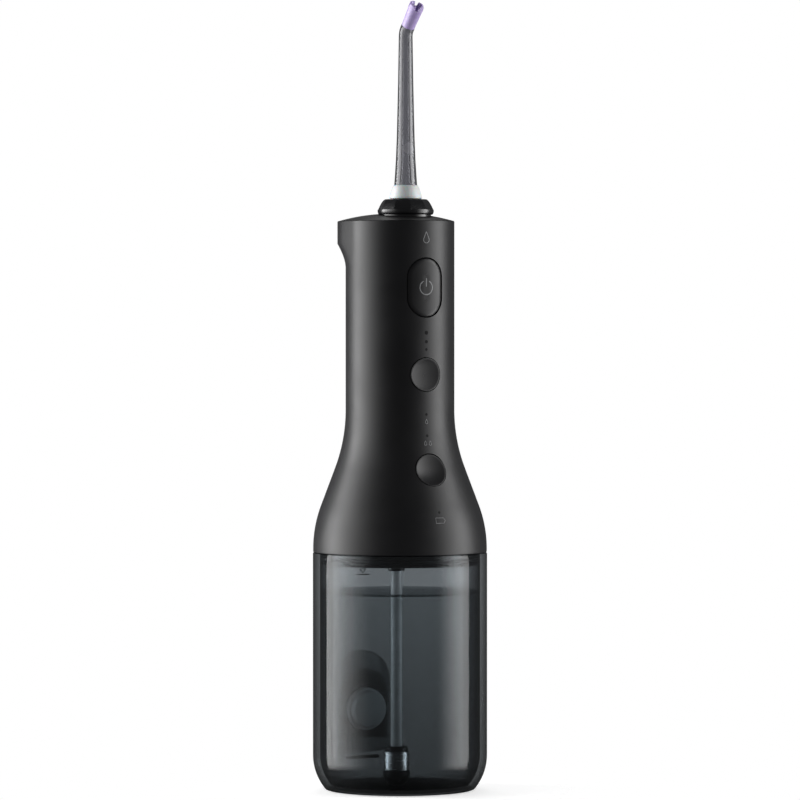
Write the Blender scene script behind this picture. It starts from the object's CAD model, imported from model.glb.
# %% [markdown]
# # A cordless water flosser
# The handle stands on its own see-through tank.  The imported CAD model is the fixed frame, and this
# script dresses it: the pieces the eye meets are modelled again with finer edges, and every part gets
# a finish worked out from what it is made of.  Everything is in metres, in the frame's own axes:
# +Z up, buttons towards -Y, the finger hook towards +Y.

# %% Load the frame
import math
import bmesh
import bpy
from mathutils import Matrix, Vector


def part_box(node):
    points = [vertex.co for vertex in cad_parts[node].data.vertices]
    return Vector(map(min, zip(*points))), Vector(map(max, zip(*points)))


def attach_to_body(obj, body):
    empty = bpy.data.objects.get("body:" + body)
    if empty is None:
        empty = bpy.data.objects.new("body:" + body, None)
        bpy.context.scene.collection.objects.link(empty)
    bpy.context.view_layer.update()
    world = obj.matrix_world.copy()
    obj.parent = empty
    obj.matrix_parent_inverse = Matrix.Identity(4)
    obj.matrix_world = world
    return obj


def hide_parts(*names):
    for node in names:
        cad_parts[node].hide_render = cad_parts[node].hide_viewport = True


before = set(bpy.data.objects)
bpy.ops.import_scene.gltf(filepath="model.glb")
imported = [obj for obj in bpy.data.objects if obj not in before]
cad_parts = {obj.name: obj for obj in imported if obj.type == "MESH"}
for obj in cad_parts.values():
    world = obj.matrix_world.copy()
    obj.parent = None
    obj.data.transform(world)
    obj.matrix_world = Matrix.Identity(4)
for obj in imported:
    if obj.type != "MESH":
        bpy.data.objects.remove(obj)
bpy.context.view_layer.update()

MM = 0.001


# %% [markdown]
# Pieces are drawn in millimetres and shrunk to metres once, when they are finished.  Heights come
# from the frame's own boxes, so a piece sits where the CAD part sits.

# %% Sizes read from the frame
def box_mm(node):
    """A CAD node's lowest and highest corners, in millimetres."""
    low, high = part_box(node)
    return low / MM, high / MM


shell_low, shell_high = box_mm("handle_shell")
tank_low, tank_high = box_mm("reservoir")
foot_low, foot_high = box_mm("nozzle_foot")
collar_low, collar_high = box_mm("nozzle_collar")
hose_low, hose_high = box_mm("intake_hose")

HANDLE_R = shell_high.x
HANDLE_LOW = shell_low.z
RIM_Z = shell_high.z
HOOK_BACK = box_mm("top_cover")[1].y
NECK_R = box_mm("top_cover")[1].x
HOOK_OUT = HOOK_BACK - NECK_R
TANK_R = tank_high.x
TANK_TOP = tank_high.z
NOZZLE_Y = (collar_low.y + collar_high.y) / 2
HOSE_X = (hose_low.x + hose_high.x) / 2
HOSE_Y = (hose_low.y + hose_high.y) / 2
print("handle", round(HANDLE_LOW, 2), "to", round(RIM_Z, 2), "mm, nozzle axis y", round(NOZZLE_Y, 2))


# %% [markdown]
# The camera comes first, then the hose.  The object is looked at from a little above the middle of
# its height and from its left front, through a long lens, so that upright lines stay upright.

# %% Camera
VIEW_TURN = math.radians(-28.7)
VIEW_DISTANCE = 1.996
VIEW_HEIGHT = 0.1944
AIM_HEIGHT = 0.159
LENS_MM = 220.5

camera_data = bpy.data.cameras.new("camera")
camera_data.lens = LENS_MM
camera_data.sensor_width = 36.0
camera = bpy.data.objects.new("camera", camera_data)
bpy.context.scene.collection.objects.link(camera)
camera.location = (
    VIEW_DISTANCE * math.sin(VIEW_TURN), -VIEW_DISTANCE * math.cos(VIEW_TURN), VIEW_HEIGHT,
)
aim = Vector((0, 0, AIM_HEIGHT)) - camera.location
camera.rotation_euler = aim.to_track_quat("-Z", "Y").to_euler()
bpy.context.scene.camera = camera
bpy.context.scene.view_settings.view_transform = "Standard"
print("camera", [round(v, 3) for v in camera.location])


# %% [markdown]
# A finish is a small tree of nodes.  One helper adds a node, sets it up and links it, and colours
# are written as the hex values one would pick from a screen.

# %% Node helper and colours
def add(tree, kind, inputs=None, **settings):
    """One node: its settings, and for each input either a value or the output it is fed from."""
    node = tree.nodes.new(kind)
    for name, value in settings.items():
        setattr(node, name, value)
    for name, value in (inputs or {}).items():
        if isinstance(value, bpy.types.NodeSocket):
            tree.links.new(value, node.inputs[name])
        else:
            node.inputs[name].default_value = value
    return node


def linear(hex_colour, alpha=1.0):
    """sRGB hex to the linear numbers that the shader works in."""
    channels = [int(hex_colour[i:i + 2], 16) / 255 for i in (1, 3, 5)]
    straight = [c / 12.92 if c <= 0.04045 else ((c + 0.055) / 1.055) ** 2.4 for c in channels]
    return (*straight, alpha)


def blank(name):
    material = bpy.data.materials.new(name)
    material.use_nodes = True
    material.node_tree.nodes.clear()
    return material, material.node_tree


def seen_white(tree, full, behind):
    """A strength for the camera alone: full when seen directly, less behind a see-through wall."""
    path = add(tree, "ShaderNodeLightPath").outputs
    behind_wall = add(tree, "ShaderNodeMapRange", {
        "Value": path["Transparent Depth"], "From Min": 1.0, "From Max": 2.0,
        "To Min": full, "To Max": behind,
    }).outputs["Result"]
    seen = add(tree, "ShaderNodeMath", {0: behind_wall, 1: path["Is Camera Ray"]}, operation="MULTIPLY")
    return seen.outputs["Value"]


def per_metre(size_mm):
    """The scale that gives a noise or wave of about this size, for coordinates in metres."""
    return 1.0 / (size_mm * MM)


print("a 1 mm pattern has a scale of", round(per_metre(1.0)))


# %% [markdown]
# Most parts are moulded plastic or rubber.  What tells them apart is the colour, how sharp the
# gloss is, and the grain the mould leaves.  One recipe covers them: a fine noise for the grain, and
# a broad one that drifts the colour and the gloss a little, as handling and moulding do.

# %% Moulded finish
def moulded(name, dark, light, gloss, gloss_drift, grain_mm, grain_height, drift_mm=14.0, **shader):
    """A moulded surface between two close colours, with roughness near gloss and a fine grain."""
    material, tree = blank(name)
    place = add(tree, "ShaderNodeTexCoord").outputs["Object"]
    drift = add(tree, "ShaderNodeTexNoise", {"Vector": place, "Scale": per_metre(drift_mm), "Detail": 3.0})
    grain = add(tree, "ShaderNodeTexNoise", {"Vector": place, "Scale": per_metre(grain_mm), "Detail": 2.0})
    colour = add(tree, "ShaderNodeMix", {"Factor": drift.outputs["Fac"]}, data_type="RGBA")
    colour.inputs["A"].default_value = linear(dark)
    colour.inputs["B"].default_value = linear(light)
    rough = add(tree, "ShaderNodeMapRange", {
        "Value": drift.outputs["Fac"], "From Min": 0.3, "From Max": 0.7,
        "To Min": gloss - gloss_drift, "To Max": gloss + gloss_drift,
    })
    bump = add(tree, "ShaderNodeBump", {
        "Height": grain.outputs["Fac"], "Distance": grain_height * MM, "Strength": 1.0,
    })
    bsdf = add(tree, "ShaderNodeBsdfPrincipled", {
        "Base Color": colour.outputs["Result"], "Roughness": rough.outputs["Result"],
        "Normal": bump.outputs["Normal"], **shader,
    })
    add(tree, "ShaderNodeOutputMaterial", {"Surface": bsdf.outputs["BSDF"]})
    return material


soft_touch = moulded(
    "soft_touch_coated_abs", "#0f0f11", "#131315", 0.42, 0.03, 0.35, 0.004, **{"Specular IOR Level": 0.32},
)
gloss_abs = moulded("moulded_black_abs", "#0f0f11", "#141416", 0.24, 0.04, 0.5, 0.003)
black_rubber = moulded("black_nitrile_rubber", "#0d0e10", "#131416", 0.5, 0.05, 0.3, 0.006)
frame_plastic = moulded("glass_filled_nylon", "#3b3d42", "#484a4f", 0.55, 0.05, 0.4, 0.01)
white_acetal = moulded("white_acetal", "#d8d4c8", "#e6e2d8", 0.38, 0.05, 0.6, 0.004)
cell_wrap = moulded("shrink_wrap_film", "#26477a", "#30568e", 0.3, 0.05, 1.2, 0.01)
solder_mask = moulded("solder_mask_laminate", "#0d3a20", "#14492a", 0.35, 0.06, 0.9, 0.01)
ferrite = moulded("sintered_ferrite", "#2a2a2c", "#37373a", 0.6, 0.08, 0.25, 0.02)
silicone = moulded(
    "lilac_silicone", "#a594c3", "#ae9fcc", 0.42, 0.04, 0.4, 0.004,
    **{"Subsurface Weight": 0.35, "Subsurface Scale": 0.0015},
)
silicone.node_tree.nodes["Principled BSDF"].inputs["Subsurface Radius"].default_value = (1.0, 0.7, 1.0)
frosted = moulded(
    "frosted_polypropylene", "#c6cbcc", "#cdd1d2", 0.4, 0.05, 0.5, 0.004,
    **{"Subsurface Weight": 0.3, "Subsurface Scale": 0.002},
)
print("moulded finishes made")


# %% [markdown]
# Metals: the hose's weight is turned stainless steel, polished bright; the axles and screws are
# ground or plated.  Turning leaves rings, so the fine noise is stretched round the axis: squeezed
# in height and long round the piece.

# %% Metals
RING_STRETCH = 0.04          # squeezes the noise across the axis, so it becomes rings


def metal(name, colour, gloss, ring_mm, height):
    """A turned metal whose fine rings run round an upright axis."""
    material, tree = blank(name)
    place = add(tree, "ShaderNodeTexCoord").outputs["Object"]
    squeezed = add(tree, "ShaderNodeMapping", {"Vector": place})
    squeezed.inputs["Scale"].default_value = (RING_STRETCH, RING_STRETCH, 1.0)
    rings = add(tree, "ShaderNodeTexNoise", {
        "Vector": squeezed.outputs["Vector"], "Scale": per_metre(ring_mm), "Detail": 3.0,
    })
    rough = add(tree, "ShaderNodeMapRange", {
        "Value": rings.outputs["Fac"], "To Min": gloss * 0.7, "To Max": gloss * 1.3,
    })
    bump = add(tree, "ShaderNodeBump", {
        "Height": rings.outputs["Fac"], "Distance": height * MM, "Strength": 1.0,
    })
    bsdf = add(tree, "ShaderNodeBsdfPrincipled", {
        "Base Color": linear(colour), "Metallic": 1.0, "Roughness": rough.outputs["Result"],
        "Normal": bump.outputs["Normal"],
    })
    add(tree, "ShaderNodeOutputMaterial", {"Surface": bsdf.outputs["BSDF"]})
    return material


bright_weight = metal("polished_stainless", "#eceef0", 0.25, 0.25, 0.0003)
ground_steel = metal("ground_steel", "#b4b6ba", 0.3, 0.2, 0.002)
plated_steel = metal("zinc_plated_steel", "#a9abad", 0.35, 0.8, 0.003)
turned_brass = metal("turned_brass", "#c9a45a", 0.28, 0.2, 0.002)
print("metals made")


# %% [markdown]
# Clear parts are made so that light goes straight through and takes a tint, with a mirror-like
# gloss laid over it.  Real bending of light would hide the hose and the door behind distorted
# views of the room, and a thin moulded wall bends it very little.  The tint deepens towards the
# edge, where one looks through more plastic, and that draws the dark outline that clear parts have.
# The gloss rises towards the edge by the usual power law.  The tank's darker foot was set by eye.

# %% Clear finish
EDGE_GLOSS_POWER = 5.0


def clear(name, facing, edge, gloss, haze_colour, haze, head_on=0.03, at_edge=0.6, edge_power=3.0,
          grain_mm=6.0, grain_height=0.004, patch=None, heavy_foot=None):
    """Tinted see-through plastic: a tint square on and at the edge, gloss, and a milky share.

    patch is a place in metres, a radius in millimetres and the milky share inside it; heavy_foot is
    the height in millimetres where the tint is normal, and its share at the bottom.
    """
    material, tree = blank(name)
    place = add(tree, "ShaderNodeTexCoord").outputs["Object"]
    ripple = add(tree, "ShaderNodeTexNoise", {"Vector": place, "Scale": per_metre(grain_mm), "Detail": 2.0})
    bump = add(tree, "ShaderNodeBump", {
        "Height": ripple.outputs["Fac"], "Distance": grain_height * MM, "Strength": 1.0,
    })
    turned_away = add(tree, "ShaderNodeLayerWeight", {"Blend": 0.5}).outputs["Facing"]
    deepening = add(tree, "ShaderNodeMath", {0: turned_away, 1: edge_power}, operation="POWER")
    tint = add(tree, "ShaderNodeMix", {"Factor": deepening.outputs["Value"]}, data_type="RGBA")
    tint.inputs["A"].default_value = linear(facing)
    tint.inputs["B"].default_value = linear(edge)
    colour = tint.outputs["Result"]
    if heavy_foot:
        top_mm, foot_share = heavy_foot
        height = add(tree, "ShaderNodeSeparateXYZ", {"Vector": place}).outputs["Z"]
        thinning = add(tree, "ShaderNodeMapRange", {
            "Value": height, "From Min": 0.0, "From Max": top_mm * MM, "To Min": foot_share, "To Max": 1.0,
        }).outputs["Result"]
        colour = add(tree, "ShaderNodeVectorMath", {0: colour, "Scale": thinning}, operation="SCALE").outputs[
            "Vector"]
    through = add(tree, "ShaderNodeBsdfTransparent", {"Color": colour})
    milk = add(tree, "ShaderNodeBsdfDiffuse", {"Color": linear(haze_colour)})
    share = add(tree, "ShaderNodeMapRange", {
        "Value": ripple.outputs["Fac"], "To Min": haze * 0.8, "To Max": haze * 1.2,
    }).outputs["Result"]
    if patch:
        spot, reach_mm, patch_haze = patch
        away = add(tree, "ShaderNodeVectorMath", {0: place, 1: spot}, operation="DISTANCE").outputs["Value"]
        share = add(tree, "ShaderNodeMapRange", {
            "Value": away, "From Min": reach_mm * 0.9 * MM, "From Max": reach_mm * 1.1 * MM,
            "To Min": patch_haze, "To Max": share,
        }).outputs["Result"]
    body = add(tree, "ShaderNodeMixShader", {
        "Fac": share, 1: through.outputs["BSDF"], 2: milk.outputs["BSDF"],
    })
    shine = add(tree, "ShaderNodeBsdfGlossy", {
        "Color": linear("#ffffff"), "Roughness": gloss, "Normal": bump.outputs["Normal"],
    })
    rising = add(tree, "ShaderNodeMath", {0: turned_away, 1: EDGE_GLOSS_POWER}, operation="POWER")
    weight = add(tree, "ShaderNodeMapRange", {
        "Value": rising.outputs["Value"], "To Min": head_on, "To Max": at_edge,
    })
    both = add(tree, "ShaderNodeMixShader", {
        "Fac": weight.outputs["Result"], 1: body.outputs["Shader"], 2: shine.outputs["BSDF"],
    })
    add(tree, "ShaderNodeOutputMaterial", {"Surface": both.outputs["Shader"]})
    return material


TUBE_SPOT = (-0.00047, -0.00857, 0.2612)
TUBE_SPOT_R = 2.4
TANK_TINT_TOP = 78.0

smoked_tank = clear(
    "smoked_copolyester", "#dde0e2", "#121314", 0.09, "#8c9296", 0.015, head_on=0.016, at_edge=0.42,
    edge_power=2.0, grain_height=0.0002, heavy_foot=(TANK_TINT_TOP, 0.80),
)
smoked_tube = clear(
    "smoked_polycarbonate", "#dadadd", "#020203", 0.06, "#9a9aa0", 0.04, head_on=0.03, edge_power=1.3,
    grain_height=0.0005, patch=(TUBE_SPOT, TUBE_SPOT_R, 0.5),
)
water = clear(
    "standing_water", "#d7dadb", "#a2a6a8", 0.05, "#aab4ba", 0.0, head_on=0.0, at_edge=0.15,
    grain_height=0.0,
)
hose_wall = clear("clear_silicone_hose", "#e6e8e9", "#a4a8aa", 0.2, "#f0f2f3", 0.60)
door_plastic = clear("smoked_copolyester_thick", "#d0d2d3", "#2c2e30", 0.12, "#7b8083", 0.10, head_on=0.02)
plug_plastic = clear("grey_stopper_elastomer", "#b9bcbe", "#1c1e20", 0.3, "#c3c8cb", 0.65, head_on=0.02)
print("clear finishes made")


# %% [markdown]
# Printed marks are a thin film of grey ink: matt, a touch uneven, and barely proud of the coat.

# %% Ink
grey_ink = moulded("grey_pad_print", "#6a6b6d", "#757678", 0.5, 0.05, 0.4, 0.002)
tank_ink = moulded(
    "dark_pad_print", "#070808", "#0a0b0b", 0.6, 0.05, 0.4, 0.002, **{"Specular IOR Level": 0.1},
)
print("inks made")


# %% [markdown]
# Three helpers carry the modelling.  `turned` spins an outline round an upright axis, as a lathe
# would.  `settle` turns a bmesh drawn in millimetres into a finished object, and `attach` gives it
# its finish, its body and the CAD node it stands for.

# %% Modelling helpers
AROUND = 128


def arc(centre_r, centre_z, radius, start, end, steps):
    """Points along an arc, for an outline; the angles are in degrees."""
    points = []
    for i in range(steps + 1):
        angle = math.radians(start + (end - start) * i / steps)
        points.append((centre_r + radius * math.cos(angle), centre_z + radius * math.sin(angle)))
    return points


def turned(points, x=0.0, y=0.0, steps=AROUND, closed=True):
    """An outline of (radius, height) points spun once round an upright axis."""
    bm = bmesh.new()
    verts = [bm.verts.new((x + r, y, z)) for r, z in points]
    pairs = list(zip(verts, verts[1:]))
    if closed:
        pairs.append((verts[-1], verts[0]))
    edges = [bm.edges.new(pair) for pair in pairs]
    bmesh.ops.spin(
        bm, geom=verts + edges, cent=(x, y, 0), axis=(0, 0, 1), angle=2 * math.pi, steps=steps,
        use_merge=True,
    )
    bmesh.ops.remove_doubles(bm, verts=bm.verts, dist=0.0005)
    bmesh.ops.dissolve_degenerate(bm, edges=bm.edges, dist=0.0002)
    bmesh.ops.recalc_face_normals(bm, faces=bm.faces)
    return bm


def settle(bm, name, sharp=32.0):
    """Millimetres to metres, and a smooth surface with its sharp edges kept."""
    bmesh.ops.scale(bm, vec=(MM, MM, MM), verts=bm.verts)
    mesh = bpy.data.meshes.new(name)
    bm.to_mesh(mesh)
    bm.free()
    mesh.polygons.foreach_set("use_smooth", [True] * len(mesh.polygons))
    mesh.set_sharp_from_angle(angle=math.radians(sharp))
    piece = bpy.data.objects.new(name, mesh)
    bpy.context.scene.collection.objects.link(piece)
    return piece


def apply_all(piece, sharp=32.0):
    """Live modifiers become the mesh itself, so the piece is finished."""
    bpy.context.view_layer.update()
    seen = piece.evaluated_get(bpy.context.evaluated_depsgraph_get())
    mesh = bpy.data.meshes.new_from_object(seen)
    piece.modifiers.clear()
    piece.data = mesh
    mesh.polygons.foreach_set("use_smooth", [True] * len(mesh.polygons))
    mesh.set_sharp_from_angle(angle=math.radians(sharp))
    return piece


def cut(piece, tools):
    """Takes the tools' shapes out of the piece, one after another."""
    for tool in tools:
        step = piece.modifiers.new(tool.name, "BOOLEAN")
        step.operation = "DIFFERENCE"
        step.solver = "EXACT"
        step.object = tool
    apply_all(piece)
    for tool in tools:
        bpy.data.objects.remove(tool)
    return piece


def bevelled(piece, width, segments=3, angle=40.0):
    """Rounds the sharp edges by a width in millimetres."""
    step = piece.modifiers.new("edges", "BEVEL")
    step.width = width * MM
    step.segments = segments
    step.limit_method = "ANGLE"
    step.angle_limit = math.radians(angle)
    return apply_all(piece)


def attach(piece, material, body, slot, *nodes):
    piece.data.materials.clear()
    piece.data.materials.append(material)
    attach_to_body(piece, body)
    if nodes:
        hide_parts(*nodes)
    print(piece.name, len(piece.data.polygons) if piece.type == "MESH" else 0, "faces")
    return piece


# %% [markdown]
# The intake hose hangs straight down inside the tank, pulled tight by the steel weight, so its
# route is one upright line.  It is a soft clear tube, drawn as a smooth curve with a round section.

# %% Intake hose
HOSE_DIAMETER = 0.0046
HOSE_ROUTE = [(-0.006, -0.008, 0.0899), (-0.006, -0.008, 0.0662), (-0.006, -0.008, 0.0424),
              (-0.006, -0.008, 0.0187)]


def smooth_curve(name, route, thickness):
    data = bpy.data.curves.new(name, "CURVE")
    data.dimensions = "3D"
    spline = data.splines.new("NURBS")
    spline.points.add(len(route) - 1)
    for point, place in zip(spline.points, route):
        point.co = (*place, 1.0)
    spline.order_u = 3
    spline.use_endpoint_u = True
    spline.resolution_u = 8
    data.bevel_depth = thickness / 2
    data.bevel_resolution = 8
    data.use_fill_caps = True
    piece = bpy.data.objects.new(name, data)
    bpy.context.scene.collection.objects.link(piece)
    return piece


hose = smooth_curve("intake_hose_tube", HOSE_ROUTE, HOSE_DIAMETER)
attach(hose, hose_wall, "handle", "clear_tubing", "intake_hose")


# %% [markdown]
# The pieces on the hose: a black collar that grips it, the bright steel weight, and the rubber
# strainer foot that lies on the tank's floor.  All three are turned shapes with softened edges.

# %% Collar, weight and strainer on the hose
STRAINER_SLOTS = 6
SLOT_TURN = 12.0
collar_box = box_mm("hose_collar")
weight_box = box_mm("hose_weight")
strainer_box = box_mm("inlet_strainer")


def hose_piece(name, outline, material, slot, node):
    piece = settle(turned(outline, HOSE_X, HOSE_Y, steps=64), name, sharp=40)
    return attach(bevelled(piece, 0.25, 3, 35), material, "handle", slot, node)


grip_low = collar_box[0].z
grip_high = weight_box[1].z + 2.1
hose_grip = hose_piece("hose_grip", [
    (0, grip_low), (4.6, grip_low), (4.75, grip_low + 0.5), (4.6, grip_high - 0.5), (3.9, grip_high),
    (0, grip_high),
], gloss_abs, "gloss_black", "hose_collar")

weight_low, weight_high = weight_box[0].z, weight_box[1].z
hose_sinker = hose_piece("hose_sinker", [
    (0, weight_low), (4.9, weight_low), (5.15, weight_low + 0.3), (5.15, weight_high - 0.3),
    (4.9, weight_high), (0, weight_high),
], bright_weight, "polished_steel", "hose_weight")

foot_z, foot_top = strainer_box[0].z, strainer_box[1].z
strainer_foot = settle(turned(
    [(0, foot_z), (2.6, foot_z)] + arc(2.7, foot_z + 1.0, 1.0, -80, -20, 4)
    + [(4.7, foot_z + 2.2), (5.25, foot_z + 3.6), (5.4, foot_z + 4.8), (5.3, foot_top), (0, foot_top)],
    HOSE_X, HOSE_Y, steps=64,
), "strainer_foot")
slots = []
for k in range(STRAINER_SLOTS):
    bm = bmesh.new()
    turn = Matrix.Rotation(math.radians(360 / STRAINER_SLOTS * k + SLOT_TURN), 4, "Z")
    lie = Matrix.Rotation(math.radians(90), 4, "Y")
    place = Matrix.Translation((HOSE_X, HOSE_Y, foot_z + 2.3)) @ turn @ Matrix.Translation((5.4, 0, 0)) @ lie
    bmesh.ops.create_cone(
        bm, cap_ends=True, segments=20, radius1=0.7, radius2=0.7, depth=3.4, matrix=place,
    )
    slots.append(settle(bm, "strainer_slot_%d" % k))
cut(strainer_foot, slots)
attach(strainer_foot, black_rubber, "handle", "black_rubber", "inlet_strainer")


# %% [markdown]
# The handle is one moulding.  Its outline leaves the tank upright, turns in over a large radius,
# runs straight as a cone and sweeps back to upright at the neck.  It is spun once, and then the
# back half of the head is drawn out into the finger hook: each ring slides back as a whole, so the
# hook keeps the neck's roundness.  Cutting the hook from a block would lose that.

# %% Handle outline
WALL = 2.2
FLARE = 20.5
LIP_TOP = 98.5
CONVEX_R = 50.0
CONCAVE_R = 68.0
NECK_LOW = 155.2
HOOK_LOW = 212.7
HOOK_CORNER = 222.7
HOOK_BEND = 4.0


def hook_reach(z):
    """How far the back half of the ring at this height has slid back."""
    if z <= HOOK_LOW:
        return 0.0
    if z >= HOOK_CORNER:
        return HOOK_OUT
    low, high = 0.0, 1.0
    for _ in range(30):
        t = (low + high) / 2
        height = HOOK_LOW + 2 * HOOK_BEND * t * (1 - t) + (HOOK_CORNER - HOOK_LOW) * t * t
        if height < z:
            low = t
        else:
            high = t
    return HOOK_OUT * low * low


def draw_hook(bm):
    for v in bm.verts:
        if v.co.y > 1e-4:
            v.co.y += hook_reach(v.co.z)


def handle_skin():
    """The outer skin's outline, from its foot to its rim."""
    low_centre = HANDLE_R - CONVEX_R
    top_centre = NECK_R + CONCAVE_R
    outline = [(HANDLE_R - 0.45, HANDLE_LOW)] + arc(HANDLE_R - 0.35, HANDLE_LOW + 0.35, 0.35, -60, 0, 3)
    outline += arc(low_centre, LIP_TOP, CONVEX_R, 0, FLARE, 14)
    outline += arc(top_centre, NECK_LOW, CONCAVE_R, 180 + FLARE, 180, 16)
    outline += [(NECK_R, z) for z in (165, 175, 185, 195, 204, 210)]
    outline += [(NECK_R, HOOK_LOW + (HOOK_CORNER - HOOK_LOW) * (i / 12)) for i in range(13)]
    outline += [(NECK_R, 226.0), (NECK_R, RIM_Z - 0.3), (NECK_R - 0.08, RIM_Z - 0.08)]
    outline += [(NECK_R - 0.3, RIM_Z)]
    return outline


bm = turned(handle_skin(), closed=False)
draw_hook(bm)
handle = settle(bm, "handle_casing", sharp=30)
thicken = handle.modifiers.new("wall", "SOLIDIFY")
thicken.thickness = WALL * MM
thicken.offset = -1.0
thicken.use_even_offset = True
thicken.use_rim = True
apply_all(handle, 30)
print("handle casing", len(handle.data.vertices), "points")


# %% [markdown]
# The casing's openings are cut with bars shaped like what comes through them: an oblong for the
# power button, two rounds, the six lights, the release button's window in the hook, and the shallow
# seat of the charging flap.

# %% Openings in the casing
POWER_Z = 204.7
POWER_HALF_W = 7.85
POWER_HALF_H = 11.95
INTENSITY_Z = 169.6
MODE_Z = 131.2
ROUND_R = 6.75
GAP = 0.25
LIGHTS = {186.5: 0.75, 182.9: 0.62, 179.7: 0.5, 153.5: 0.5, 144.9: 0.5, 114.3: 0.45}


def surface_r(z):
    """The casing's radius at a height on its flare."""
    convex_top = LIP_TOP + CONVEX_R * math.sin(math.radians(FLARE))
    if z <= convex_top:
        return HANDLE_R - CONVEX_R + math.sqrt(CONVEX_R ** 2 - (z - LIP_TOP) ** 2)
    if z <= NECK_LOW - CONCAVE_R * math.sin(math.radians(FLARE)):
        cone_r = HANDLE_R - CONVEX_R + CONVEX_R * math.cos(math.radians(FLARE))
        return cone_r - (z - convex_top) * math.tan(math.radians(FLARE))
    if z < NECK_LOW:
        return NECK_R + CONCAVE_R - math.sqrt(CONCAVE_R ** 2 - (NECK_LOW - z) ** 2)
    return NECK_R


def slope_at(z):
    """How far the surface leans back from upright at a height, in radians."""
    if z <= LIP_TOP or z >= NECK_LOW:
        return 0.0
    from_below = math.asin(min(1.0, (z - LIP_TOP) / CONVEX_R))
    from_above = math.asin(min(1.0, (NECK_LOW - z) / CONCAVE_R))
    return min(from_below, from_above, math.radians(FLARE))


def facing_front(z):
    """The frame of a spot on the front: x to the right, y up the surface, z out of it."""
    lean = Matrix.Rotation(math.radians(90) - slope_at(z), 4, "X")
    return Matrix.Translation((0, -surface_r(z), z)) @ lean


def oblong_disc(bm, half_w, half_h, steps=32):
    """A flat oblong face about the origin, wide along x and tall along y."""
    bmesh.ops.create_circle(bm, cap_ends=True, radius=half_w, segments=4 * steps)
    for v in bm.verts:
        if v.co.y > 1e-4:
            v.co.y += half_h - half_w
        elif v.co.y < -1e-4:
            v.co.y -= half_h - half_w
    return bm


def bar(name, half_w, half_h, place, depth_in, depth_out):
    """A solid bar of oblong section that goes into and out of a spot on the surface."""
    bm = oblong_disc(bmesh.new(), half_w, half_h)
    bmesh.ops.translate(bm, vec=(0, 0, -depth_in), verts=bm.verts)
    pulled = bmesh.ops.extrude_face_region(bm, geom=bm.faces[:])
    moved = [v for v in pulled["geom"] if isinstance(v, bmesh.types.BMVert)]
    bmesh.ops.translate(bm, vec=(0, 0, depth_in + depth_out), verts=moved)
    bmesh.ops.recalc_face_normals(bm, faces=bm.faces)
    bmesh.ops.transform(bm, matrix=place, verts=bm.verts)
    return settle(bm, name)


def brick(name, low, high):
    """A block between two corners."""
    size = [b - a for a, b in zip(low, high)]
    middle = [(a + b) / 2 for a, b in zip(low, high)]
    bm = bmesh.new()
    bmesh.ops.create_cube(bm, size=1.0)
    bmesh.ops.scale(bm, vec=size, verts=bm.verts)
    bmesh.ops.translate(bm, vec=middle, verts=bm.verts)
    return settle(bm, name)


FLAP = box_mm("charge_port_flap")
RELEASE = box_mm("release_button")
openings = [
    bar("power_opening", POWER_HALF_W + GAP, POWER_HALF_H + GAP, facing_front(POWER_Z), 8, 4),
    bar("intensity_opening", ROUND_R + GAP, ROUND_R + GAP, facing_front(INTENSITY_Z), 8, 4),
    bar("mode_opening", ROUND_R + GAP, ROUND_R + GAP, facing_front(MODE_Z), 8, 4),
    brick("release_opening", (RELEASE[0].x - 0.3, RELEASE[0].y - 3, RELEASE[0].z - 0.3),
          (RELEASE[1].x + 0.3, RELEASE[1].y + 3, RELEASE[1].z + 0.3)),
    brick("socket_opening", (-6, 20, 106.4), (6, 40, 112.2)),
]
for z, r in LIGHTS.items():
    level = Matrix.Translation((0, -surface_r(z), z)) @ Matrix.Rotation(math.radians(90), 4, "X")
    openings.append(bar("light_opening", r + 0.05, r + 0.05, level, 8, 4))
cut(handle, openings)
print("handle casing", len(handle.data.vertices), "points, cut by", len(openings), "tools")


# %% [markdown]
# Cutting leaves long thin faces beside the openings, and they would dent the reflections.  The
# moulding's true surface is known from its outline, so every corner on the outer skin is told the
# direction the real surface faces there.

# %% True surface directions
SKIN_TOLERANCE = 0.12


def outward(point):
    """The direction the casing's skin faces at a point, in millimetres."""
    z = min(max(point.z, HANDLE_LOW + 0.5), RIM_Z)
    reach = hook_reach(z)
    back = min(max(point.y, 0.0), reach)
    around = Vector((point.x, point.y - back, 0)).normalized()
    narrowing = math.tan(slope_at(z))
    growing = (hook_reach(z + 0.05) - hook_reach(z - 0.05)) / 0.1 if point.y > reach else 0.0
    return Vector((around.x, around.y, narrowing - around.y * growing)).normalized()


def on_skin(point):
    """Whether a point lies on the casing's outer skin."""
    if not HANDLE_LOW + 0.36 < point.z < RIM_Z - 0.29:
        return False
    back = min(max(point.y, 0.0), hook_reach(point.z))
    return abs(math.hypot(point.x, point.y - back) - surface_r(point.z)) < SKIN_TOLERANCE


def true_directions(piece, facing=0.8):
    """Gives every corner on the outer skin the direction of the true surface."""
    mesh = piece.data
    corners = [n.vector.copy() for n in mesh.corner_normals]
    points = [v.co / MM for v in mesh.vertices]
    told = {i: outward(p) for i, p in enumerate(points) if on_skin(p)}
    for face in mesh.polygons:
        for k in face.loop_indices:
            v = mesh.loops[k].vertex_index
            if v in told and face.normal.dot(told[v]) > facing:
                corners[k] = told[v]
    mesh.normals_split_custom_set(corners)
    print(piece.name, len(told), "of", len(points), "points on the skin")


true_directions(handle)
attach(handle, soft_touch, "handle", "soft_touch_black", "handle_shell")


# %% [markdown]
# The top cover is a shallow dome with a crisp rim all at one height.  Its middle carries the level
# seat of the nozzle's turning ring.

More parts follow.
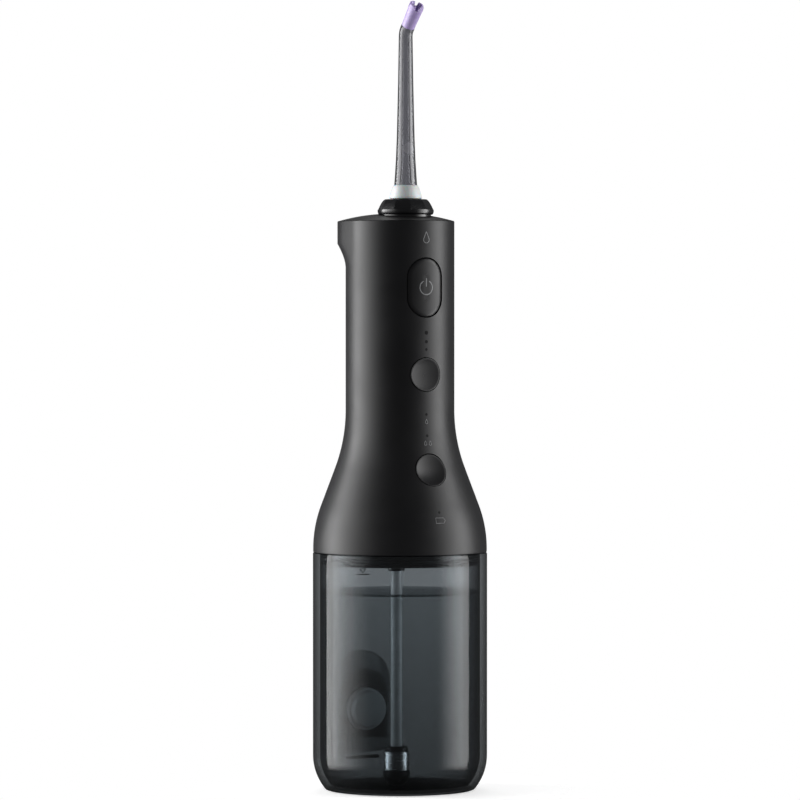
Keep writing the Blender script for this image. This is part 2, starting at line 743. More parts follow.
# %% Top cover
DOME_RISE = 3.2
SEAT_Z = 234.45
SEAT_R = 11.8
HOLE_R = 5.2
dome_r = (NECK_R ** 2 + DOME_RISE ** 2) / (2 * DOME_RISE)
dome_angle = math.degrees(math.asin(NECK_R / dome_r))
outline = [(0, RIM_Z - 1.6), (NECK_R - WALL - 0.1, RIM_Z - 1.6), (NECK_R - WALL - 0.1, RIM_Z + 0.02)]
outline += [(NECK_R - 0.3, RIM_Z + 0.02), (NECK_R - 0.1, RIM_Z + 0.06)]
outline += arc(0, RIM_Z + DOME_RISE - dome_r, dome_r, 90 - dome_angle + 0.5, 90, 12)
bm = turned(outline)
for v in bm.verts:
    if v.co.y > 1e-4:
        v.co.y += HOOK_OUT
cover = settle(bm, "domed_cover", sharp=30)
bm = bmesh.new()
bmesh.ops.create_cone(
    bm, cap_ends=True, segments=96, radius1=SEAT_R, radius2=SEAT_R, depth=6,
    matrix=Matrix.Translation((0, NOZZLE_Y, SEAT_Z + 3)),
)
level_tool = settle(bm, "seat_tool")
bm = bmesh.new()
bmesh.ops.create_cone(
    bm, cap_ends=True, segments=64, radius1=HOLE_R, radius2=HOLE_R, depth=12,
    matrix=Matrix.Translation((0, NOZZLE_Y, SEAT_Z)),
)
hole_tool = settle(bm, "nozzle_hole_tool")
cut(cover, [level_tool, hole_tool])
pedestal = settle(turned(
    [(5.3, 232.5), (10.4, 232.5), (10.3, 234.3), (10.1, 234.42), (5.3, 234.42)], 0, NOZZLE_Y, steps=96,
), "ring_seat", sharp=40)
attach(pedestal, gloss_abs, "handle", "soft_touch_black")
attach(cover, soft_touch, "handle", "soft_touch_black", "top_cover")


# %% [markdown]
# A button carries on the casing's own surface inside its opening, with a rounded edge.  It is built
# of rings of one outline, bridged from the back to the middle of the face, and then bowed like the
# casing.  Rings keep the faces even, which a bevel on a cut plate doesn't.  The round keys are dished
# for the finger.  Their dish was deepened until it read well under this light.

# %% Buttons
CORNER_STEPS = 5
DISH_STEPS = 12
CHAMFER_DROP = 0.42
ROUND_REACH = 0.96
OBLONG_REACH = 0.8
KEY_DEPTH = 2.8
MODE_DEPTH = 3.3
POWER_CHAMFER = 1.7
ROUND_CHAMFER = 0.2
ROUND_DISH = 1.5


def oblong_ring(bm, half_w, half_h, z, steps=96, cap=False):
    """One oblong ring of points at a level; returns its edges."""
    made = bmesh.ops.create_circle(bm, cap_ends=cap, radius=half_w, segments=steps)
    for v in made["verts"]:
        if v.co.y > 1e-4:
            v.co.y += half_h - half_w
        elif v.co.y < -1e-4:
            v.co.y -= half_h - half_w
        v.co.z = z
    return list({e for v in made["verts"] for e in v.link_edges})


def curved_plate(name, half_w, half_h, z, depth, chamfer, dish=0.0):
    """A plug of oblong outline whose face follows the casing, with a softened rim."""
    bm = bmesh.new()
    levels = [(0.0, -depth), (0.0, -chamfer * CHAMFER_DROP - 0.15)]
    for i in range(CORNER_STEPS + 1):
        angle = math.radians(90 * i / CORNER_STEPS)
        levels.append((chamfer * (1 - math.cos(angle)), -chamfer * CHAMFER_DROP * (1 - math.sin(angle))))
    flat_w = half_w - chamfer
    reach = ROUND_REACH if half_w == half_h else OBLONG_REACH
    levels += [(chamfer + reach * flat_w * (i + 1) / DISH_STEPS, 0.0) for i in range(DISH_STEPS)]
    rings = [
        oblong_ring(bm, half_w - inset, half_h - inset, level, cap=k in (0, len(levels) - 1))
        for k, (inset, level) in enumerate(levels)
    ]
    for a, b in zip(rings, rings[1:]):
        bmesh.ops.bridge_loops(bm, edges=a + b)
    bow = surface_r(z) / math.cos(slope_at(z))
    for v in bm.verts:
        if v.co.z > -depth + 1e-3:
            hollow = max(0.0, 1 - (v.co.x / flat_w) ** 2 - (v.co.y / (half_h - chamfer)) ** 2)
            v.co.z -= bow - math.sqrt(bow ** 2 - v.co.x ** 2) + dish * hollow
    bmesh.ops.transform(bm, matrix=facing_front(z), verts=bm.verts)
    bmesh.ops.recalc_face_normals(bm, faces=bm.faces)
    return settle(bm, name, sharp=35)


power = curved_plate("power_key", POWER_HALF_W, POWER_HALF_H, POWER_Z, KEY_DEPTH, POWER_CHAMFER)
attach(power, soft_touch, "power_button", "soft_touch_black", "power_button")
intensity = curved_plate(
    "intensity_key", ROUND_R, ROUND_R, INTENSITY_Z, KEY_DEPTH, ROUND_CHAMFER, dish=ROUND_DISH,
)
attach(intensity, soft_touch, "intensity_button", "soft_touch_black", "intensity_button")
mode = curved_plate("mode_key", ROUND_R, ROUND_R, MODE_Z, MODE_DEPTH, ROUND_CHAMFER, dish=ROUND_DISH)
attach(mode, soft_touch, "mode_button", "soft_touch_black", "mode_button")


# %% [markdown]
# The symbols are thin films laid on the surface.  Each is drawn flat, cut into narrow strips so
# that it can bend, and laid on the casing by the same formula that shapes the casing itself.

# %% Laying marks on the casing
INK_LIFT = 0.05
DROP_Z = 224.0
GENTLE_Z = 150.6
STRONG_Z = 141.9
BATTERY_Z = 111.1


def lay_on_casing(bm, z, lift=INK_LIFT):
    """Takes a flat drawing in x and y and lays it on the front of the casing at a height."""
    for v in bm.verts:
        height = z + v.co.y * math.cos(slope_at(z))
        radius = surface_r(height) + lift
        angle = v.co.x / radius
        v.co = (radius * math.sin(angle), -radius * math.cos(angle), height)


def ring_strip(bm, radius, width, start, end, steps=40, centre=(0.0, 0.0)):
    """A flat band along an arc, in the xy plane: a short line swept round a centre."""
    middle = Vector((*centre, 0))
    across = Matrix.Rotation(math.radians(start), 3, "Z") @ Vector((1, 0, 0))
    ends = [bm.verts.new(middle + across * r) for r in (radius - width / 2, radius + width / 2)]
    line = bm.edges.new(ends)
    bmesh.ops.spin(
        bm, geom=[*ends, line], cent=middle, axis=(0, 0, 1), angle=math.radians(end - start), steps=steps,
    )


def line_strip(bm, start, end, width, steps=6):
    """A flat band along a straight line: one row of a grid, laid between the line's two ends."""
    first, last = Vector((*start, 0)), Vector((*end, 0))
    way = last - first
    turn = Matrix.Rotation(math.atan2(way.y, way.x), 4, "Z")
    size = Matrix.Diagonal((way.length / 2, width / 2, 1, 1))
    bmesh.ops.create_grid(
        bm, x_segments=steps, y_segments=1, size=1.0,
        matrix=Matrix.Translation((first + last) / 2) @ turn @ size,
    )


def droplet(bm, size, x=0.0, y=0.0, width=0.2):
    """A generic drop: a round foot and two sides that meet at a point."""
    ring_strip(bm, size * 0.5, width, -205, 25, 24, (x, y))
    edge = math.radians(25)
    for side in (-1, 1):
        foot = (x + side * size * 0.5 * math.cos(edge), y + size * 0.5 * math.sin(edge))
        line_strip(bm, foot, (x, y + size * 1.25), width, 4)


def printed(bm, name, z, body):
    """Lays a drawing on the front at a height and gives it the grey ink."""
    lay_on_casing(bm, z)
    for f in bm.faces:
        f.normal_update()
        if f.normal.dot(f.calc_center_median() - Vector((0, 0, f.calc_center_median().z))) < 0:
            f.normal_flip()
    return attach(settle(bm, name), grey_ink, body, "indicator_lens")


bm = bmesh.new()
ring_strip(bm, 2.85, 0.42, 116, 424)
line_strip(bm, (0, 0.4), (0, 3.7), 0.42)
printed(bm, "power_symbol", POWER_Z, "power_button")

bm = bmesh.new()
droplet(bm, 2.6, 0.0, 0.0, 0.3)
printed(bm, "drop_mark", DROP_Z, "handle")

bm = bmesh.new()
droplet(bm, 1.1, 0.0, -0.3, 0.16)
printed(bm, "gentle_mark", GENTLE_Z, "handle")

bm = bmesh.new()
droplet(bm, 1.1, -1.1, -0.3, 0.16)
droplet(bm, 1.1, 1.1, -0.3, 0.16)
printed(bm, "strong_mark", STRONG_Z, "handle")

bm = bmesh.new()
for start, end in (
    ((-2.0, -1.1), (1.5, -1.1)), ((-2.0, 1.1), (1.5, 1.1)), ((-2.0, -1.18), (-2.0, 1.18)),
    ((1.5, -1.1), (2.3, 0.0)), ((1.5, 1.1), (2.3, 0.0)),
):
    line_strip(bm, start, end, 0.18)
printed(bm, "battery_mark", BATTERY_Z, "handle")


# %% [markdown]
# The indicator lights are short smoked acrylic rods that end flush with the casing, so each shows
# as a small dark dot while it is off.  A thin dark disc a hair under the skin
# closes each opening and stands for the rod's face.

# %% Indicator dots
DOT_SPREAD = 0.15
DOT_LIFT = -0.02

dots = bmesh.new()
for z, r in LIGHTS.items():
    flat = bmesh.new()
    bmesh.ops.create_circle(flat, cap_ends=True, cap_tris=True, radius=r + DOT_SPREAD, segments=48)
    lay_on_casing(flat, z, lift=DOT_LIFT)
    spare = bpy.data.meshes.new("dot")
    flat.to_mesh(spare)
    flat.free()
    dots.from_mesh(spare)
    bpy.data.meshes.remove(spare)
for f in dots.faces:
    f.normal_update()
    if f.normal.y > 0:
        f.normal_flip()
dot_lens = moulded(
    "smoked_lens_acrylic", "#050506", "#070708", 0.5, 0.03, 0.6, 0.001, **{"Specular IOR Level": 0.1},
)
attach(settle(dots, "indicator_dots"), dot_lens, "handle", "indicator_lens", "indicator_lenses")


# %% [markdown]
# The turning ring under the nozzle is moulded with ten flats for the fingers.  The ring is spun
# from its outline and the flats are pressed in by moving points towards the axis, which leaves a
# round brim below them.

# %% Turning ring
FLATS = 10
FLAT_LOW = 236.4
collar_top = collar_high.z
ring_outline = [(3.6, 234.5), (9.3, 234.5), (10.3, 234.3), (10.9, 234.45), (11.25, 234.9), (11.4, 235.5)]
ring_outline += [(11.42, 236.1), (11.36, 236.38), (11.30, 236.46), (11.05, 237.0), (10.72, 237.7)]
ring_outline += [(10.36, 238.4), (9.95, 239.1), (9.5, 239.75), (9.1, 240.2), (8.75, 240.48)]
ring_outline += [(8.35, collar_top), (3.6, collar_top)]
bm = turned(ring_outline, 0, NOZZLE_Y, steps=160)
flat_angle = math.radians(180 / FLATS)
for v in bm.verts:
    if v.co.z > FLAT_LOW and v.co.z < collar_top - 0.01:
        x, y = v.co.x, v.co.y - NOZZLE_Y
        radius = math.hypot(x, y)
        if radius > 5:
            turn = math.atan2(y, x) % (2 * flat_angle) - flat_angle
            pressed = radius * math.cos(flat_angle) / math.cos(turn)
            v.co.x = x * pressed / radius
            v.co.y = NOZZLE_Y + y * pressed / radius
ring = settle(bm, "turning_ring", sharp=12)
attach(ring, gloss_abs, "collar", "gloss_black", "nozzle_collar")


# %% [markdown]
# The nozzle: a frosted foot, a smoked clear tube that tapers and bends, and a soft tip.  The foot is
# turned; its shank goes down into the handle.

# %% Nozzle foot
foot_outline = [(0, foot_low.z), (2.7, foot_low.z), (3.0, foot_low.z + 0.3), (3.0, 226.1), (2.55, 226.2)]
foot_outline += [(2.55, 228.2), (3.0, 228.3), (3.0, 240.8), (6.3, 240.8), (6.6, 240.95), (6.65, 241.3)]
foot_outline += [(6.45, 242.3), (6.1, 243.5), (5.7, 244.8), (5.2, 246.0), (5.05, 246.25), (4.8, 246.35)]
foot_outline += [(0, 246.35)]
foot = settle(turned(foot_outline, 0, NOZZLE_Y, steps=96), "frosted_foot", sharp=40)
attach(foot, frosted, "nozzle", "frosted_plastic", "nozzle_foot")


# %% [markdown]
# The tube is a wall with a bore, both turned up to the bend.  The bend is a part turn of the open
# top ring about a level axis beside it, and the straight after it is a plain extrusion, exactly as
# a tube is bent round a former.

# %% Nozzle tube
TIP_TILT = math.radians(35)
TIP_TURN = math.radians(9)
BEND_R = 5.2
BEND_Z = 306.7
AFTER_BEND = 1.2
TUBE_OUTER = [(4.66, 246.2), (4.28, 251.8), (3.98, 256.7), (3.65, 264.9), (3.44, 273.0), (3.25, 281.2),
              (3.08, 289.3), (2.95, 297.5), (2.8, BEND_Z)]
TUBE_BORE = [(2.6, 246.2), (2.2, 250.0), (1.75, 256.7), (1.6, 273.0), (1.5, 289.3), (1.45, BEND_Z)]
sideways = Vector((math.sin(TIP_TURN), -math.cos(TIP_TURN), 0))
tip_way = Matrix.Rotation(TIP_TILT, 3, Vector((0, 0, 1)).cross(sideways)) @ Vector((0, 0, 1))


def bent(points):
    """An open tube: turned, then swung over the bend, then pulled straight."""
    bm = turned(points, 0, NOZZLE_Y, steps=64, closed=False)
    top = [e for e in bm.edges if e.is_boundary and min(v.co.z for v in e.verts) > BEND_Z - 0.01]
    verts = list({v for e in top for v in e.verts})
    pivot = Vector((0, NOZZLE_Y, BEND_Z)) + sideways * BEND_R
    swung = bmesh.ops.spin(
        bm, geom=top + verts, cent=pivot, axis=Vector((0, 0, 1)).cross(sideways), angle=TIP_TILT,
        steps=10, use_duplicate=False,
    )
    last = [g for g in swung["geom_last"] if isinstance(g, bmesh.types.BMEdge)]
    pulled = bmesh.ops.extrude_edge_only(bm, edges=last)
    moved = [g for g in pulled["geom"] if isinstance(g, bmesh.types.BMVert)]
    bmesh.ops.translate(bm, vec=tip_way * AFTER_BEND, verts=moved)
    bmesh.ops.remove_doubles(bm, verts=bm.verts, dist=0.0005)
    return bm


bm = bent(TUBE_OUTER)
inner = bent(TUBE_BORE)
bmesh.ops.recalc_face_normals(bm, faces=bm.faces)
bmesh.ops.recalc_face_normals(inner, faces=inner.faces)
spare = bpy.data.meshes.new("bore")
inner.to_mesh(spare)
inner.free()
bm.from_mesh(spare)
bpy.data.meshes.remove(spare)
rims = [e for e in bm.edges if e.is_boundary]
ends = [[e for e in rims if e.verts[0].co.z < 247], [e for e in rims if e.verts[0].co.z > 300]]
for end in ends:
    bmesh.ops.bridge_loops(bm, edges=end)
bmesh.ops.recalc_face_normals(bm, faces=bm.faces)
tube = settle(bm, "nozzle_tube", sharp=40)
attach(tube, smoked_tube, "nozzle", "smoked_tube", "nozzle_shaft")


# %% [markdown]
# The tip is soft silicone: a sleeve that opens slightly towards its mouth, where four notches leave
# four rounded petals.  It is turned upright at the origin, its rim is pulled down at the notches,
# and then it is laid along the tube's end.

# %% Silicone tip
TIP_LENGTH = 10.6
TIP_BASE_R = 2.72
TIP_MOUTH_R = 3.1
PETALS = 4
NOTCH_DEPTH = 1.7


def notch(turn):
    """How far the rim dips at this turn: nothing over a petal, the full depth in a notch."""
    phase = abs(((turn * PETALS / (2 * math.pi)) % 1.0) - 0.5) * 2
    share = min(1.0, max(0.0, (phase - 0.62) / 0.14))
    return NOTCH_DEPTH * share * share * (3 - 2 * share) + 0.3 * phase ** 2


outer = [(TIP_BASE_R + (TIP_MOUTH_R - TIP_BASE_R) * t, TIP_LENGTH * t) for t in
         (0.0, 0.15, 0.3, 0.45, 0.6, 0.7, 0.78, 0.85, 0.91, 0.96)]
lip = [(TIP_MOUTH_R - 0.06, TIP_LENGTH - 0.2), (TIP_MOUTH_R - 0.3, TIP_LENGTH), (2.35, TIP_LENGTH - 0.05),
       (2.2, TIP_LENGTH - 0.35)]
well = [(r, TIP_LENGTH * share) for r, share in
        ((2.1, 0.85), (1.95, 0.7), (1.7, 0.58), (0.9, 0.5), (0.55, 0.5), (0.5, 0.3), (0, 0.3))]
bm = turned([(0, 0)] + outer + lip + well, steps=96, closed=False)
bmesh.ops.remove_doubles(bm, verts=bm.verts, dist=0.0005)
notch_foot = TIP_LENGTH * 0.7
for v in bm.verts:
    if v.co.z > notch_foot and math.hypot(v.co.x, v.co.y) > 1.2:
        share = (v.co.z - notch_foot) / (TIP_LENGTH - notch_foot)
        v.co.z -= share * notch(math.atan2(v.co.y, v.co.x) + math.radians(20))
bmesh.ops.recalc_face_normals(bm, faces=bm.faces)
bend_end = Vector((0, NOZZLE_Y, BEND_Z)) + sideways * (BEND_R * (1 - math.cos(TIP_TILT)))
bend_end += Vector((0, 0, BEND_R * math.sin(TIP_TILT)))
tip_base = bend_end + tip_way * AFTER_BEND
lay = Matrix.Translation(tip_base) @ Vector((0, 0, 1)).rotation_difference(tip_way).to_matrix().to_4x4()
bmesh.ops.transform(bm, matrix=lay, verts=bm.verts)
tip = settle(bm, "silicone_tip", sharp=50)
attach(tip, silicone, "nozzle", "lilac_silicone", "jet_tip")


# %% [markdown]
# The base plate closes the handle and goes down into the tank as a black spigot; the hose hangs
# from its boss.  Only its underside and its rim show, through the clear wall.

# %% Base plate
spigot_low = 92.0
outline = [(0, spigot_low), (31.4, spigot_low), (31.9, spigot_low + 0.15), (32.2, spigot_low + 0.6)]
outline += [(32.2, HANDLE_LOW - 0.05), (33.05, HANDLE_LOW - 0.05), (33.05, 99.6), (0, 99.6)]
plate = settle(turned(outline), "tank_lid", sharp=40)
attach(plate, gloss_abs, "handle", "gloss_black", "base_plate")
boss = settle(turned([(0, 89.9), (3.2, 89.9), (3.4, 90.2), (3.4, spigot_low + 0.1), (0, spigot_low + 0.1)],
                     HOSE_X, HOSE_Y, steps=64), "hose_boss", sharp=40)
attach(boss, gloss_abs, "handle", "gloss_black")


# %% [markdown]
# The tank is a clear moulding with a real wall: an outer skin and an inner one, joined round the
# mouth, so that light meets four surfaces on its way through, as it does in the real one.  Its
# sides turn under with a large radius to a flat foot.

# %% Tank
TANK_WALL = 2.9
BASE_R = 30.3
ROUND_R_TANK = 22.0
ROUND_Z = 14.5
FLOOR_Z = 2.4
side_angle = -math.degrees(math.acos((BASE_R - (TANK_R - ROUND_R_TANK)) / ROUND_R_TANK))
inner_r = TANK_R - TANK_WALL
inner_arc_r = ROUND_R_TANK - TANK_WALL
inner_angle = -math.degrees(math.asin((ROUND_Z - FLOOR_Z) / inner_arc_r))
base_z = ROUND_Z + ROUND_R_TANK * math.sin(math.radians(side_angle))
outline = [(0, base_z + 0.4), (BASE_R - 4.0, base_z + 0.4), (BASE_R - 3.4, base_z)]
outline += [(BASE_R - 0.5, base_z)]
outline += arc(TANK_R - ROUND_R_TANK, ROUND_Z, ROUND_R_TANK, side_angle + 0.8, 0, 18)
outline += [(TANK_R, z) for z in (22, 30, 38, 46, 54, 62, 70, 78, 86)]
outline += [(TANK_R, TANK_TOP - 0.5), (TANK_R - 0.12, TANK_TOP - 0.12), (TANK_R - 0.5, TANK_TOP)]
outline += [(inner_r + 0.5, TANK_TOP), (inner_r + 0.12, TANK_TOP - 0.15), (inner_r, TANK_TOP - 0.6)]
outline += [(inner_r, z) for z in (86, 78, 70, 62, 54, 46, 38, 30, 22)]
outline += arc(TANK_R - ROUND_R_TANK, ROUND_Z, inner_arc_r, 0, inner_angle, 14)
outline += [(0, FLOOR_Z)]
tank = settle(turned(outline, steps=160), "clear_tank", sharp=30)
attach(tank, smoked_tank, "tank", "smoked_plastic", "reservoir")
print("tank foot at", round(base_z, 3), "mm")


# %% [markdown]
# The fill door closes flush in the tank's back, with a raised pad on its inside and a round stopper
# in front of that, which seals the fill hole.  The plate and the pad are tombstone bars, and the
# plate is trimmed by a turned shape so that its outer face follows the wall.  The stopper is spun.
# The tank's wall is left whole here, so with the door open the fill hole itself isn't to be seen.

# %% Fill door
DOOR_HALF_W = 12.5
DOOR_LOW = 12.9
DOOR_TOP = 55.0
DOOR_INNER_Y = 31.6
FILL_Z = 31.0
PAD_HALF_W = 10.4
PAD_LOW = 19.0
PAD_TOP = 47.5


def tombstone(name, half_w, low, top, near_y, far_y):
    """An upright bar along y with a level foot and a round top."""
    bm = bmesh.new()
    bmesh.ops.create_circle(bm, cap_ends=True, radius=half_w, segments=96)
    for v in bm.verts:
        if v.co.y < -1e-4:
            v.co.y = low - (top - half_w)
            v.co.x = half_w * (1 if v.co.x > 0 else -1) if abs(v.co.x) > 0.5 * half_w else v.co.x
    bmesh.ops.rotate(bm, matrix=Matrix.Rotation(math.radians(90), 3, "X"), verts=bm.verts)
    bmesh.ops.translate(bm, vec=(0, far_y, top - half_w), verts=bm.verts)
    pulled = bmesh.ops.extrude_face_region(bm, geom=bm.faces[:])
    moved = [v for v in pulled["geom"] if isinstance(v, bmesh.types.BMVert)]
    bmesh.ops.translate(bm, vec=(0, near_y - far_y, 0), verts=moved)
    bmesh.ops.remove_doubles(bm, verts=bm.verts, dist=0.0005)
    bmesh.ops.recalc_face_normals(bm, faces=bm.faces)
    return settle(bm, name, sharp=30)


def keep_inside(piece, tool):
    """Trims a piece to what lies inside a tool."""
    step = piece.modifiers.new("trim", "BOOLEAN")
    step.operation = "INTERSECT"
    step.solver = "EXACT"
    step.object = tool
    apply_all(piece, 30)
    bpy.data.objects.remove(tool)
    return piece


door = tombstone("fill_door_plate", DOOR_HALF_W, DOOR_LOW, DOOR_TOP, DOOR_INNER_Y, 40)
skin_outline = [(0, 0)] + [(TANK_R - 0.03, z) for z in (14.5, 30, 60)] + [(0, 60)]
skin_tool = settle(turned(skin_outline, steps=160), "skin")
keep_inside(door, skin_tool)
attach(bevelled(door, 0.4, 2, 40), door_plastic, "fill_door", "smoked_plastic", "fill_door")

pad = tombstone("fill_door_pad", PAD_HALF_W, PAD_LOW, PAD_TOP, 29.6, DOOR_INNER_Y + 0.2)
attach(bevelled(pad, 0.9, 4, 40), door_plastic, "fill_door", "smoked_plastic")

bm = turned(
    [(0, -6.4), (6.6, -6.4), (7.2, -6.2), (7.5, -5.6), (7.7, -4.2), (7.9, -3.6), (8.6, -3.4), (8.75, -2.8),
     (8.75, -1.6), (8.9, 0), (0, 0)], steps=96,
)
bmesh.ops.rotate(bm, matrix=Matrix.Rotation(math.radians(-90), 3, "X"), verts=bm.verts)
bmesh.ops.translate(bm, vec=(0, DOOR_INNER_Y - 0.4, FILL_Z), verts=bm.verts)
stopper = settle(bm, "fill_stopper", sharp=40)
attach(stopper, plug_plastic, "fill_door", "smoked_plastic")


# %% [markdown]
# A level mark is printed high on the tank's back: a short line with a small triangle that points
# down to it, in place of any word.

# %% Level mark
bm = bmesh.new()
line_strip(bm, (-3.0, 0), (3.0, 0), 0.45, 12)
for start, end in (((-1.3, 2.3), (1.3, 2.3)), ((1.3, 2.3), (0, 0.6)), ((0, 0.6), (-1.3, 2.3))):
    line_strip(bm, start, end, 0.4, 6)
MARK_TURN = math.radians(3)
MARK_Z = 86.2
MARK_R = TANK_R + 0.04
for v in bm.verts:
    turn = v.co.x / TANK_R + MARK_TURN
    v.co = (MARK_R * math.sin(turn), MARK_R * math.cos(turn), MARK_Z + v.co.y)
bmesh.ops.recalc_face_normals(bm, faces=bm.faces)
attach(settle(bm, "level_mark"), tank_ink, "tank", "smoked_plastic")


# %% [markdown]
# The water stands a little below the fill line.  It is a piece of its own, a hair inside the wall,
# with its edge drawn up where it wets the plastic, and that edge gives the dark line round the tank.

# %% Water
WATER_TOP = 80.4
skin = 0.06
outline = [(0, FLOOR_Z + skin)]
outline += arc(TANK_R - ROUND_R_TANK, ROUND_Z, inner_arc_r - skin, inner_angle, 0, 14)
outline += [(inner_r - skin, z) for z in (30, 50, 70)]
outline += [(inner_r - skin, WATER_TOP + 0.9), (inner_r - 0.35, WATER_TOP + 0.5)]
outline += [(inner_r - 0.9, WATER_TOP + 0.15), (inner_r - 1.8, WATER_TOP), (0, WATER_TOP)]
pool = settle(turned(outline, steps=160), "water_fill", sharp=60)
attach(pool, water, "tank", "smoked_plastic")


# %% [markdown]
# Every CAD part that still shows, or would show with the casing off, takes a finish of its own.

# %% Finishes for the CAD parts
FINISHES = {
    ground_steel: ["gear_axle", "wrist_pin", "motor_shaft", "fill_door_pin", "release_spring",
                   "inlet_valve_ball", "outlet_valve_ball", "inlet_valve_spring", "outlet_valve_spring",
                   "charge_socket"],
    plated_steel: ["motor_can", "casing_screws", "battery_tabs"],
    turned_brass: ["motor_pinion"],
    ferrite: ["motor_magnets", "motor_rotor"],
    white_acetal: ["motor_end_bell", "crank_gear", "connecting_rod", "piston", "pump_cylinder",
                   "valve_head", "nozzle_socket", "nozzle_latch"],
    frame_plastic: ["inner_frame"],
    black_rubber: ["tank_seal", "nozzle_socket_seal", "piston_seal", "charge_port_flap", "fill_door_seal"],
    cell_wrap: ["battery_cell"],
    solder_mask: ["circuit_board", "charge_board"],
    gloss_abs: ["tact_switches", "release_button"],
    hose_wall: ["suction_tube", "pressure_tube"],
}
for material, names in FINISHES.items():
    for name in names:
        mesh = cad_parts[name].data
        mesh.materials.clear()
        mesh.materials.append(material)
print("CAD parts finished:", sum(len(n) for n in FINISHES.values()))


# %% [markdown]
# The stage is a small pale floor under soft studio light: a tall panel on each side for the two
# upright highlights, and a weak one above and behind.  Each panel fades across its width.  The
# surroundings are white where the camera looks straight at them, and dimmer in reflections and
# behind two or more see-through walls, which keeps the casing black and the tank smoky.  That is a
# studio trick and not how the plastic behaves: under a plain white sky the tank looks lighter.

# %% Stage and light
FLOOR_R = 600.0
FLOOR_NEAR = 0.04
FLOOR_FAR = 0.085
FLOOR_SEEN = 0.9             # the floor's lightness for the camera, on top of FLOOR_LEAST
FLOOR_SEEN_BEHIND = 0.2      # the same behind see-through walls
FLOOR_LEAST = 0.1
FLOOR_GLOW = 0.5
FLOOR_GLOW_BEHIND = 0.1


def fading_floor():
    """A pale matt floor that gives way to the bare white surroundings some way from the piece."""
    material, tree = blank("pale_studio_floor")
    place = add(tree, "ShaderNodeTexCoord").outputs["Object"]
    away = add(tree, "ShaderNodeVectorMath", {0: place}, operation="LENGTH")
    fade = add(tree, "ShaderNodeMapRange", {
        "Value": away.outputs["Value"], "From Min": FLOOR_NEAR, "From Max": FLOOR_FAR,
    }, interpolation_type="SMOOTHSTEP")
    speckle = add(tree, "ShaderNodeTexNoise", {"Vector": place, "Scale": per_metre(6.0)})
    pale = add(tree, "ShaderNodeMix", {"Factor": speckle.outputs["Fac"]}, data_type="RGBA")
    pale.inputs["A"].default_value = linear("#f2f2f2")
    pale.inputs["B"].default_value = linear("#f6f6f6")
    lightness = add(tree, "ShaderNodeMath", {
        0: seen_white(tree, FLOOR_SEEN, FLOOR_SEEN_BEHIND), 1: FLOOR_LEAST,
    }, operation="ADD")
    direct = add(tree, "ShaderNodeVectorMath", {
        0: pale.outputs["Result"], "Scale": lightness.outputs["Value"],
    }, operation="SCALE").outputs["Vector"]
    matt = add(tree, "ShaderNodeBsdfPrincipled", {"Base Color": direct, "Roughness": 0.55})
    from_below = add(tree, "ShaderNodeEmission", {
        "Color": linear("#ffffff"), "Strength": seen_white(tree, FLOOR_GLOW, FLOOR_GLOW_BEHIND),
    })
    lit = add(tree, "ShaderNodeAddShader", {0: matt.outputs["BSDF"], 1: from_below.outputs["Emission"]})
    nothing = add(tree, "ShaderNodeBsdfTransparent", {"Color": linear("#ffffff")})
    both = add(tree, "ShaderNodeMixShader", {
        "Fac": fade.outputs["Result"], 1: lit.outputs["Shader"], 2: nothing.outputs["BSDF"],
    })
    add(tree, "ShaderNodeOutputMaterial", {"Surface": both.outputs["Shader"]})
    return material


bm = bmesh.new()
bmesh.ops.create_circle(bm, cap_ends=True, radius=FLOOR_R, segments=96)
floor = settle(bm, "floor")
floor.data.materials.append(fading_floor())


PANEL_PEAK = 1.5


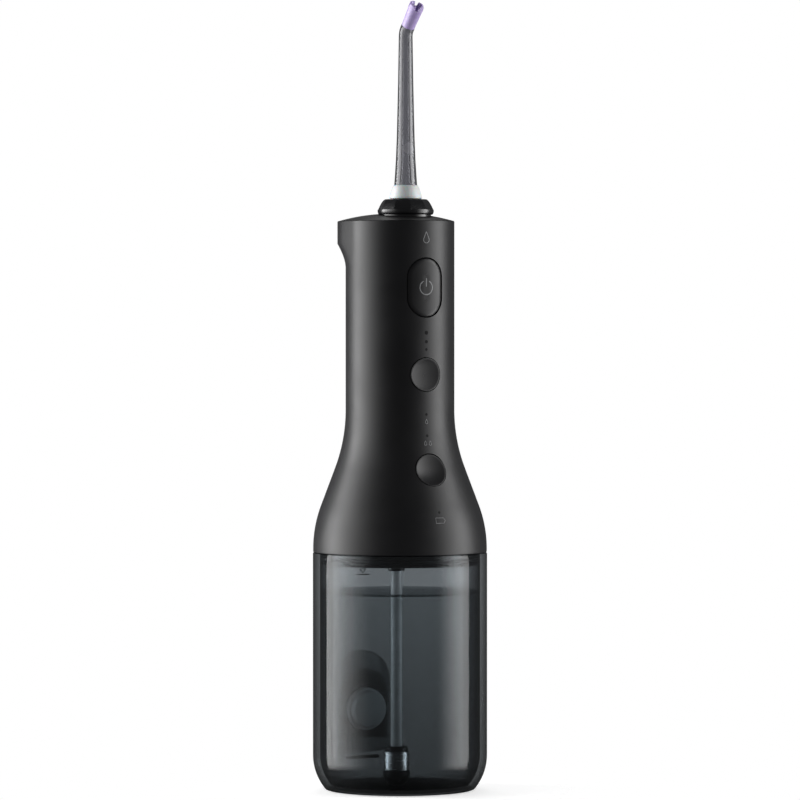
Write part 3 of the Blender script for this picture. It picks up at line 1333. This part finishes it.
def softbox(name, turn, distance, height, width, tall, watts, rise, fall):
    """A flat light at an angle round the object from the camera; rise and fall shape its two sides."""
    light = bpy.data.lights.new(name, "AREA")
    light.shape = "RECTANGLE"
    light.size = width
    light.size_y = tall
    light.energy = watts
    light.use_nodes = True
    tree = light.node_tree
    tree.nodes.clear()
    spot = add(tree, "ShaderNodeNewGeometry").outputs["Parametric"]
    across = add(tree, "ShaderNodeSeparateXYZ", {"Vector": spot}).outputs["X"]
    mirrored = add(tree, "ShaderNodeMath", {0: 1.0, 1: across}, operation="SUBTRACT").outputs["Value"]
    climb = add(tree, "ShaderNodeMath", {0: across, 1: rise}, operation="POWER").outputs["Value"]
    drop = add(tree, "ShaderNodeMath", {0: mirrored, 1: fall}, operation="POWER").outputs["Value"]
    hump = add(tree, "ShaderNodeMath", {0: climb, 1: drop}, operation="MULTIPLY").outputs["Value"]
    peak = (rise / (rise + fall)) ** rise * (fall / (rise + fall)) ** fall
    glow = add(tree, "ShaderNodeMath", {0: hump, 1: PANEL_PEAK / peak}, operation="MULTIPLY").outputs["Value"]
    source = add(tree, "ShaderNodeEmission", {"Color": linear("#ffffff"), "Strength": glow})
    add(tree, "ShaderNodeOutputLight", {"Surface": source.outputs["Emission"]})
    lamp = bpy.data.objects.new(name, light)
    around = VIEW_TURN + math.radians(turn)
    lamp.location = (distance * math.sin(around), -distance * math.cos(around), height)
    way = Vector((0, 0, AIM_HEIGHT)) - lamp.location
    lamp.rotation_euler = way.to_track_quat("-Z", "Y").to_euler()
    bpy.context.scene.collection.objects.link(lamp)


softbox("left_panel", -73, 0.9, 0.20, 1.5, 1.1, 40, 0.2, 2.4)
softbox("right_panel", 76, 0.9, 0.20, 0.90, 1.1, 18, 1.8, 0.3)
softbox("top_light", 180, 0.7, 1.3, 0.9, 0.9, 3.5, 1.0, 1.0)

WHITE_BEHIND = 0.45
WORLD_REFLECTED = 0.11

world = bpy.data.worlds.new("studio")
world.use_nodes = True
world.node_tree.nodes.clear()
tree = world.node_tree
white = add(tree, "ShaderNodeBackground", {
    "Color": linear("#ffffff"), "Strength": seen_white(tree, 1.0, WHITE_BEHIND),
})
dim = add(tree, "ShaderNodeBackground", {"Color": linear("#ffffff"), "Strength": WORLD_REFLECTED})
mixed = add(tree, "ShaderNodeMixShader", {
    "Fac": add(tree, "ShaderNodeLightPath").outputs["Is Camera Ray"],
    1: dim.outputs["Background"], 2: white.outputs["Background"],
})
add(tree, "ShaderNodeOutputWorld", {"Surface": mixed.outputs["Shader"]})
bpy.context.scene.world = world
